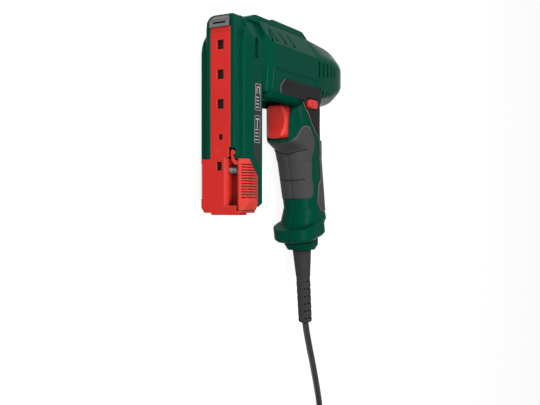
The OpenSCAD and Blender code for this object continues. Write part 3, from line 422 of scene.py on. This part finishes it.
NODE_FINISH = {
    "left_housing": green, "right_housing": green,
    "left_side_pad": pad_rubber, "right_side_pad": pad_rubber,
    "left_front_grip": grip_rubber, "right_front_grip": grip_rubber,
    "left_rear_grip": grip_rubber, "right_rear_grip": grip_rubber,
    "housing_screws": screw_steel, "nose_plate": nose_steel, "staple_channel": shaded_rail_steel,
    "magazine_slide": cover_red, "magazine_rail": shaded_rail_steel, "guide_rod": pin_steel,
    "pusher": black, "pusher_spring": wire_steel, "latch_lever": lever_red, "latch_pin": pin_steel,
    "latch_spring": wire_steel, "solenoid_yoke": yoke_sheets, "solenoid_bobbin": natural,
    "solenoid_winding": copper, "plunger": core_steel, "driver_blade": blade_steel,
    "return_spring": wire_steel, "plunger_bumper": bumper_rubber, "trigger": red,
    "trigger_spring": wire_steel, "trigger_switch": black, "power_switch_body": black,
    "power_switch_button": red, "circuit_board": board, "cord_clamp": black,
    "strain_relief": relief_rubber, "cord_tie": tie_band, "plug_body": plug_skin,
    "plug_pins": pin_steel,
}
for node, finish in NODE_FINISH.items():
    for slot in nodes[node].material_slots:
        slot.material = finish
cord.data.materials.append(cord_jacket)

# ------------------------------------------------------- eased, moulded pieces

BODY_OF = {node: body for body, held in frame["record"]["behaviour"]["bodies"].items()
           for node in held}


def eased(node, name, slot, grain, passes, keep=1.0):
    """A moulded copy of a piece: one even skin of that grain in millimetres, smoothed that
    many times, with that share of its faces kept."""
    source = nodes[node]
    piece = bpy.data.objects.new(name, source.data.copy())
    scene.collection.objects.link(piece)
    skin = piece.modifiers.new("skin", "REMESH")
    skin.mode, skin.voxel_size = "VOXEL", grain / 1000
    ease = piece.modifiers.new("ease", "SMOOTH")
    ease.factor, ease.iterations = 0.5, passes
    if keep < 1:
        thin = piece.modifiers.new("thin", "DECIMATE")
        thin.ratio = keep
    bpy.context.view_layer.update()
    formed = bpy.data.meshes.new_from_object(
        piece.evaluated_get(bpy.context.evaluated_depsgraph_get()))
    piece.modifiers.clear()
    piece.data = formed
    formed.shade_smooth()
    formed.materials.clear()
    formed.materials.append(NODE_FINISH[node])
    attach(piece, BODY_OF[node])
    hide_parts(node)
    return piece


# Pieces in left and right pairs: the node, then its copy's name, slot, grain, passes, keep.
PAIRED = {"housing": ("half_shell", "green_plastic", 0.5, 2, 0.5),
          "front_grip": ("front_grip_skin", "black_rubber", 0.4, 6, 0.6),
          "rear_grip": ("rear_grip_skin", "black_rubber", 0.4, 4, 0.6),
          "side_pad": ("side_pad_skin", "black_rubber", 0.4, 4, 0.6)}
for node, (name, *facts) in PAIRED.items():
    for side, _ in SIDES:
        eased(side + "_" + node, side + "_" + name, *facts)
eased("strain_relief", "relief_sleeve", "black_rubber", 0.4, 3, 0.7)
plug = eased("plug_body", "plug_moulding", "black_plastic", 0.6, 5, 0.7)


def across(spots, side):
    """Middle and half width of some points along one axis."""
    low, high = min(co[side] for co in spots), max(co[side] for co in spots)
    return (low + high) / 2, (high - low) / 2


def corner_pull(u, v, power):
    """How far a point of the square from -1 to 1 is drawn in to make its corners round."""
    length = (abs(u) ** power + abs(v) ** power) ** (1 / power)
    return max(abs(u), abs(v)) / max(length, 1e-9) - 1


def pillowed(piece, sides, power, height):
    """Pulls a moulding's corners in, seen across its two sides, and shortens the second side
    to that share of its height."""
    spots, (first, second) = [vert.co for vert in piece.data.vertices], sides
    (mid_u, half_u), (mid_v, half_v) = across(spots, first), across(spots, second)
    for co in spots:
        u, v = (co[first] - mid_u) / half_u, (co[second] - mid_v) / half_v
        pull = 1 + corner_pull(u, v, power)
        co[first] = mid_u + u * pull * half_u
        co[second] = mid_v + v * pull * half_v * height
    piece.data.update()


# How square the trigger's corners stay, and the share of its depth, from the front, that
# gives the front's width and height.
TRIGGER_CORNERS, TRIGGER_FRONT = 4.5, 0.4
# The hollow for the finger, in millimetres, with how high it starts and how it falls off across.
TRIGGER_HOLLOW, HOLLOW_CROWN, HOLLOW_ACROSS = 3.4, 0.75, 0.2
# How fast the shaping fades towards the flange, and how much of it is taken off.
FADE_SLOPE, FADE_START = 2.2, 0.95
# The share of the depth that is smoothed after it, and how many times.
SOFT_FRONT, SOFT_PASSES = 0.5, 45


def finger_shaped(piece):
    """Rounds the trigger's front and hollows it for a finger; both fade out towards its flange."""
    spots = [vert.co for vert in piece.data.vertices]
    low_x, high_x = min(co.x for co in spots), max(co.x for co in spots)
    depth = high_x - low_x
    front = [co for co in spots if co.x < low_x + TRIGGER_FRONT * depth]
    (mid_z, half_z), (mid_y, half_y) = across(front, 2), across(front, 1)
    for co in spots:
        u, v = (co.z - mid_z) / half_z, (co.y - mid_y) / half_y
        share = min(1, max(0, FADE_SLOPE * (high_x - co.x) / depth - FADE_START))
        pull = 1 + share * corner_pull(u, v, TRIGGER_CORNERS)
        co.x += TRIGGER_HOLLOW / 1000 * share * (HOLLOW_CROWN - v * v - HOLLOW_ACROSS * u * u)
        co.z, co.y = mid_z + u * pull * half_z, mid_y + v * pull * half_y
    form = bmesh.new()
    form.from_mesh(piece.data)
    free = [vert for vert in form.verts if vert.co.x < low_x + SOFT_FRONT * depth]
    for _ in range(SOFT_PASSES):
        bmesh.ops.smooth_vert(form, verts=free, factor=0.5, use_axis_x=True, use_axis_y=True,
                              use_axis_z=True)
    form.to_mesh(piece.data)
    form.free()
    piece.data.update()


finger_shaped(eased("trigger", "trigger_moulding", "red_plastic", 0.35, 10))
pillowed(eased("power_switch_button", "switch_cap", "red_plastic", 0.25, 8), (0, 1), 6, 0.88)

# Each spring: its joint, the axis it lies along, its fixed end (0 low,
# 1 high), and how far the joint shortens it, in millimetres.
SPRINGS = {"trigger_spring": ("trigger_pull", 0, 1, 6),
           "pusher_spring": ("pusher_travel", 1, 0, 80),
           "latch_spring": ("latch_squeeze", 2, 0, 1.25),
           "return_spring": ("striker_stroke", 0, 0, 17)}


def coiled_wire(node, joint, axis, fixed_end, travel):
    """A smooth-shaded copy of a spring, carried by its body."""
    piece = bpy.data.objects.new(node + "_wire", nodes[node].data.copy())
    scene.collection.objects.link(piece)
    piece.data.shade_smooth()
    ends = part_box(node)
    along, length = Vector(), ends[1][axis] - ends[0][axis]
    along[axis] = 1
    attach(piece, BODY_OF[node])
    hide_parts(node)
    1 - travel / 1000 / length
    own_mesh(piece)


for node, facts in SPRINGS.items():
    coiled_wire(node, *facts)

# ------------------------------------------------ label band, marks, grip lines


def solid_piece(name, build, finish, body):
    """A piece built with bmesh in drawing millimetres."""
    form, mesh = bmesh.new(), bpy.data.meshes.new(name)
    build(form)
    bmesh.ops.recalc_face_normals(form, faces=form.faces)
    for vert in form.verts:
        vert.co = place(*vert.co)
    form.to_mesh(mesh)
    form.free()
    mesh.materials.append(finish)
    piece = bpy.data.objects.new(name, mesh)
    scene.collection.objects.link(piece)
    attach(piece, body)
    return piece


def slab(form, outline, low, high, chamfer=0):
    """An (X, Y) outline filled between two heights in Z, its top edges chamfered."""
    centre = sum((Vector(p) for p in outline), Vector((0, 0))) / len(outline)
    base = [form.verts.new((x, y, low)) for x, y in outline]
    top = [form.verts.new((x, y, high - chamfer)) for x, y in outline]
    crown = []
    for x, y in outline:
        inward = (centre - Vector((x, y))).normalized() * chamfer
        crown.append(form.verts.new((x + inward.x, y + inward.y, high)))
    rows = [base, top, crown] if chamfer else [base, top]
    for lower, upper in zip(rows, rows[1:]):
        for i in range(len(outline)):
            j = (i + 1) % len(outline)
            form.faces.new((lower[i], lower[j], upper[j], upper[i]))
    form.faces.new(rows[-1])
    form.faces.new(list(reversed(base)))


def stroke(form, line, width, low, high, closed=False):
    """A flat ribbon of that width along an (X, Y) line."""
    points = [Vector(p) for p in line]
    count, sides = len(points), ([], [])
    for i, point in enumerate(points):
        before = points[i - 1] if closed or i else None
        after = points[(i + 1) % count] if closed or i < count - 1 else None
        ways = [(point - before).normalized()] if before else []
        ways += [(after - point).normalized()] if after else []
        way = sum(ways, Vector((0, 0))).normalized()
        reach = width / 2 / max(0.5, way.dot(ways[0]))
        across = Vector((-way.y, way.x)) * reach
        for side, edge in zip(sides, (point + across, point - across)):
            side.append([form.verts.new((*edge, level)) for level in (low, high)])
    left, right = sides
    for i in range(count if closed else count - 1):
        j = (i + 1) % count
        for a, b, c, d in ((left[i][1], left[j][1], right[j][1], right[i][1]),
                           (left[i][0], right[i][0], right[j][0], left[j][0]),
                           (left[i][0], left[j][0], left[j][1], left[i][1]),
                           (right[i][0], right[i][1], right[j][1], right[j][0])):
            form.faces.new((a, b, c, d))
    if not closed:
        for i in (0, count - 1):
            form.faces.new((left[i][0], left[i][1], right[i][1], right[i][0]))


def rounded_corners(corners, radius, steps=4):
    """The convex outline with its corners rounded."""
    line = []
    for i, corner in enumerate(corners):
        at = Vector(corner)
        start = at + (Vector(corners[i - 1]) - at).normalized() * radius
        end = at + (Vector(corners[(i + 1) % len(corners)]) - at).normalized() * radius
        for step in range(steps + 1):
            t = step / steps
            line.append(tuple(start * (1 - t) ** 2 + at * 2 * t * (1 - t) + end * t * t))
    return line


FOOT_SIDE = 21.4
BAND_FACE = FOOT_SIDE + 0.22
BAND = [(16.2, -23.8), (25.8, -23.4), (25.1, -45), (24.3, -70.6), (22.4, -87.6),
        (20.8, -87.4), (14.2, -78.2), (14.6, -71), (15.3, -45)]


def label_band(form):
    slab(form, rounded_corners(BAND, 0.5), FOOT_SIDE - 0.1, BAND_FACE, 0.08)


def band_marks(form):
    """Two framed fields: one with a staple, one with a nail, over plain gauge bars."""
    low, high = BAND_FACE - 0.05, BAND_FACE + 0.06
    for left, right, top, foot in ((16.9, 24.5, -24.9, -45.2), (15.9, 23.7, -49.6, -70.4)):
        lean = 0.9
        corners = [(left, top), (right, top + 0.2), (right - lean + 0.2, foot), (left - lean, foot)]
        stroke(form, rounded_corners(corners, 1), 0.32, low, high, closed=True)
        for bar in range(4):
            y = foot + 2.2 + 2.6 * bar
            stroke(form, [(left + 1.3 - lean, y), (right - 1.7 - lean, y + 0.1)], 0.7, low, high)
    stroke(form, [(18.6, -32.5), (18.9, -27.2), (22.6, -27.1), (22.3, -32.4)], 0.75, low, high)
    stroke(form, [(17.4, -52.2), (21.8, -52.1)], 1.0, low, high)
    stroke(form, [(19.6, -52.6), (19.3, -57.6), (19.2, -59.2)], 0.85, low, high)


def gate_mark(form):
    """The ring that the moulding's gate leaves on the cover strip."""
    stroke(form, [(math.cos(a) * 1.15, math.sin(a) * 1.15)
                  for a in (2 * math.pi * i / 20 for i in range(20))], 0.3, -0.12, 0.1, closed=True)
    for vert in form.verts:
        x, y, z = vert.co
        vert.co = (-z, y - 77, x - 2)


pale_print = moulded("pale_print", (0.42, 0.42, 0.42), (0.6, 0.6, 0.6), edge=0.0001, gloss=0.4)
band_plastic = moulded("label_band_plastic", (0.022, 0.02, 0.021), (0.09, 0.09, 0.09), edge=0.0002)
solid_piece("label_band", label_band, band_plastic, "housing")
solid_piece("label_band_marks", band_marks, pale_print, "housing")
solid_piece("strip_gate_mark", gate_mark, red, "magazine")


# The barrel's lower fairing: how far its inner wall keeps from the mid-plane, which clears the
# trigger's flange, its sections along X, each (X, rise, draw inwards), and its outline, (Y, Z).
FAIRING_WALL = 12.4
FAIRING_STATIONS = [(35, 0, 0.6), (45, 0, 0), (60, 0, 0.1), (78, 0, 0.7), (88, 0.2, 1.5),
                    (96, 0.6, 2.8), (103, 1.4, 5)]
FAIRING_OUTLINE = [(-23.6, 23.4), (-26.6, 24.15), (-28.9, 24), (-31, 23.3), (-32.8, 22.1),
                   (-34, 20.3), (-34.5, 18), (-34.2, 15.6), (-32.8, 13.6), (-30.6, 12.6),
                   (-28.4, FAIRING_WALL)]


def fairing(mirror):
    """Builder of the rounded lower edge of the barrel between the foot and the handle."""
    def build(form):
        rows = []
        for x, rise, inward in FAIRING_STATIONS:
            rows.append([form.verts.new((x, y + rise, mirror * max(z - inward, FAIRING_WALL)))
                         for y, z in FAIRING_OUTLINE])
        for near, far in zip(rows, rows[1:]):
            for i in range(len(FAIRING_OUTLINE) - 1):
                form.faces.new((near[i], near[i + 1], far[i + 1], far[i]))
            form.faces.new((near[-1], near[0], far[0], far[-1]))
        form.faces.new(rows[0])
        form.faces.new(list(reversed(rows[-1])))
    return build


for side, mirror in SIDES:
    lip = solid_piece(side + "_barrel_fairing", fairing(mirror), dull_green, "housing")
    rounding = lip.modifiers.new("round", "SUBSURF")
    rounding.levels = rounding.render_levels = 2
    lip.data.shade_smooth()


def outer_cut(node, at, normal):
    """The line on a grip's outer face where a plane cuts it, as drawing points."""
    form, on_plane = bmesh.new(), place(*at)
    form.from_mesh(nodes[node].data)
    bmesh.ops.remove_doubles(form, verts=form.verts, dist=1e-6)
    cut = bmesh.ops.bisect_plane(form, geom=form.verts[:] + form.edges[:] + form.faces[:],
                                 plane_co=on_plane, plane_no=Vector(normal).normalized())
    form.normal_update()
    # A list, not a set, so that each run of edges starts at the same end every time.
    unused = [edge for edge in cut["geom_cut"] if isinstance(edge, bmesh.types.BMEdge)
              and any((edge.verts[0].co - on_plane).dot(face.normal) > 0.005
                      for face in edge.link_faces)]
    runs = []
    while unused:
        held = {}
        for edge in unused:
            for vert in edge.verts:
                held.setdefault(vert, []).append(edge)
        vert = next((v for v, edges in held.items() if len(edges) == 1), next(iter(held)))
        run = [vert.co.copy()]
        while True:
            step = next((e for e in held.get(vert, ()) if e in unused), None)
            if step is None:
                break
            unused.remove(step)
            vert = step.other_vert(vert)
            run.append(vert.co.copy())
        runs.append([tuple(co * 1000 - DRAWING_AT) for co in run])
    form.free()
    return max(runs, key=run_length)


# Lines round the front grip: a point on each, and its climb towards the back and outwards.
GRIP_LINES = {"upper": ((119, -73, 0), 0.1, 0.25), "lower": ((125, -97, 0), 0.03, 0.08)}
for side, mirror in SIDES:
    for height, (at, climb_back, climb_out) in GRIP_LINES.items():
        line = outer_cut(side + "_front_grip", at, (-climb_back, 1, -mirror * climb_out))
        bead = smooth_line(side + "_grip_" + height + "_line", line, 0.9, line_rubber)
        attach(bead, "housing")


def on_side(node, line, mirror, step=1.5, sink=0.1):
    """An (X, Y) line laid on a node's outer side and sunk into it, as drawing points."""
    form = bmesh.new()
    form.from_mesh(nodes[node].data)
    tree, points = BVHTree.FromBMesh(form), []
    for start, end in zip(line, line[1:]):
        start, end = Vector(start), Vector(end)
        count = max(1, round((end - start).length / step))
        for i in range(count + (end == Vector(line[-1]))):
            x, y = start.lerp(end, i / count)
            hit = tree.ray_cast(place(x, y, mirror * 40), Vector((0, 0, -mirror)))[0]
            if hit:
                points.append((x, y, hit.z * 1000 - DRAWING_AT.z - mirror * sink))
    form.free()
    return points


# Lines laid on the sides: the node, its finish and slot, the width, and the corners.
# The pale edge and step lines are painted highlights.
SIDE_LINES = {
    "pad_front_edge_highlight": ("side_pad", pad_edge_highlight, "black_rubber", 0.7,
                       [(58.2, -15.8), (51.8, -21.6), (51.8, -25.6), (53.4, -27.8)]),
    "pad_top_groove": ("side_pad", line_rubber, "black_rubber", 0.6,
                       [(56.5, -18.2), (102, -18.4)]),
    "pad_leg_edge_highlight": ("side_pad", pad_edge_highlight, "black_rubber", 0.8,
                     [(97.6, -29.4), (100.6, -33.6), (109.9, -44.5), (121.4, -55), (127, -57.4)]),
    "front_grip_edge_highlight": ("front_grip", pad_edge_highlight, "black_rubber", 0.5,
                        [(94.6, -62.8), (105.2, -50.1), (109, -50.1), (115.8, -56.2)]),
    "rear_grip_edge_highlight": ("rear_grip", pad_edge_highlight, "black_rubber", 0.5,
                       [(131, -62), (137.7, -86), (138.8, -95.2), (133.6, -101), (133.2, -117.6),
                        (138.9, -124.4)]),
    "barrel_first_step_highlight": ("housing", green_step_highlight, "green_plastic", 0.55,
                          [(34.4, -8.6), (33.8, -20), (33.2, -28)]),
    "barrel_second_step_highlight": ("housing", green_step_highlight, "green_plastic", 0.55,
                           [(40.4, -8.6), (39.6, -20), (38.8, -26.2)])}
for side, mirror in SIDES:
    for name, (node, finish, slot, width, line) in SIDE_LINES.items():
        laid = on_side(side + "_" + node, line, mirror)
        bead = smooth_line(side + "_" + name, laid, width, finish)
        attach(bead, "housing")

# ------------------------------------------------------------ studio and floor

FLOOR_REACH, FLOOR_DROP = 6, 0.0002
FLOOR_GLOW = 0.88
ROOM_LIGHT, ROOM_SEEN = 0.12, 0.6
LIT_POINT = Vector((0, -0.02, 0.03))
SOFTBOXES = {"key_softbox": ((-0.5, 0.66, 0.9), 0.5, 9.0),
             "front_softbox": ((-1.15, 0.16, 0.6), 0.35, 6.0),
             "low_softbox": ((-0.75, -0.6, 1.0), 0.5, 7.0)}


def background_rays(tree):
    """A socket that is 1 for the rays that see the floor and the room as a background."""
    rays = tree.nodes.new("ShaderNodeLightPath").outputs
    seen = rays["Is Camera Ray"]
    for name in ("Is Glossy Ray", "Is Transmission Ray"):
        either = tree.nodes.new("ShaderNodeMath")
        either.operation = "MAXIMUM"
        tree.links.new(seen, either.inputs[0])
        tree.links.new(rays[name], either.inputs[1])
        seen = either.outputs[0]
    return seen


def pale_floor():
    """A plain floor that takes the shadow and shows white to the background rays."""
    mesh = bpy.data.meshes.new("floor")
    corners = [(-FLOOR_REACH, -FLOOR_REACH, 0), (FLOOR_REACH, -FLOOR_REACH, 0),
               (FLOOR_REACH, FLOOR_REACH, 0), (-FLOOR_REACH, FLOOR_REACH, 0)]
    mesh.from_pydata(corners, [], [(0, 1, 2, 3)])
    floor = bpy.data.objects.new("floor", mesh)
    floor.location.z = -FLOOR_DROP
    scene.collection.objects.link(floor)
    f = Finish("pale_floor", Roughness=0.9, Specular_IOR_Level=0.0)
    f.paint(Base_Color=f.mix(f.noise(0.02) * 0.04, (0.3, 0.3, 0.3), (0.28, 0.28, 0.28)))
    tree = f.tree
    glow, both = tree.nodes.new("ShaderNodeEmission"), tree.nodes.new("ShaderNodeAddShader")
    f.link(glow.inputs["Strength"], Wire(f, background_rays(tree)) * FLOOR_GLOW)
    tree.links.new(f.shader.outputs[0], both.inputs[0])
    tree.links.new(glow.outputs[0], both.inputs[1])
    tree.links.new(both.outputs[0], tree.nodes["Material Output"].inputs[0])
    mesh.materials.append(f.material)


def white_room():
    """The world: faint light all round, and a brighter white to the background rays."""
    world = bpy.data.worlds.new("studio")
    world.use_nodes = True
    tree = world.node_tree
    light, back = tree.nodes["Background"], tree.nodes.new("ShaderNodeBackground")
    for part, strength in ((light, ROOM_LIGHT), (back, ROOM_SEEN)):
        part.inputs["Color"].default_value = (1, 1, 1, 1)
        part.inputs["Strength"].default_value = strength
    pick = tree.nodes.new("ShaderNodeMixShader")
    tree.links.new(background_rays(tree), pick.inputs[0])
    tree.links.new(light.outputs[0], pick.inputs[1])
    tree.links.new(back.outputs[0], pick.inputs[2])
    tree.links.new(pick.outputs[0], tree.nodes["World Output"].inputs[0])
    scene.world = world


def softbox(name, at, size, power):
    """A square lamp turned towards the tool."""
    lamp = bpy.data.lights.new(name, "AREA")
    lamp.shape, lamp.size, lamp.energy = "SQUARE", size, power
    holder = bpy.data.objects.new(name, lamp)
    holder.location = at
    holder.rotation_euler = (LIT_POINT - Vector(at)).to_track_quat("-Z", "Y").to_euler()
    scene.collection.objects.link(holder)


pale_floor()
white_room()
for name, facts in SOFTBOXES.items():
    softbox(name, *facts)
scene.view_settings.view_transform = "Standard"

bpy.context.view_layer.update()
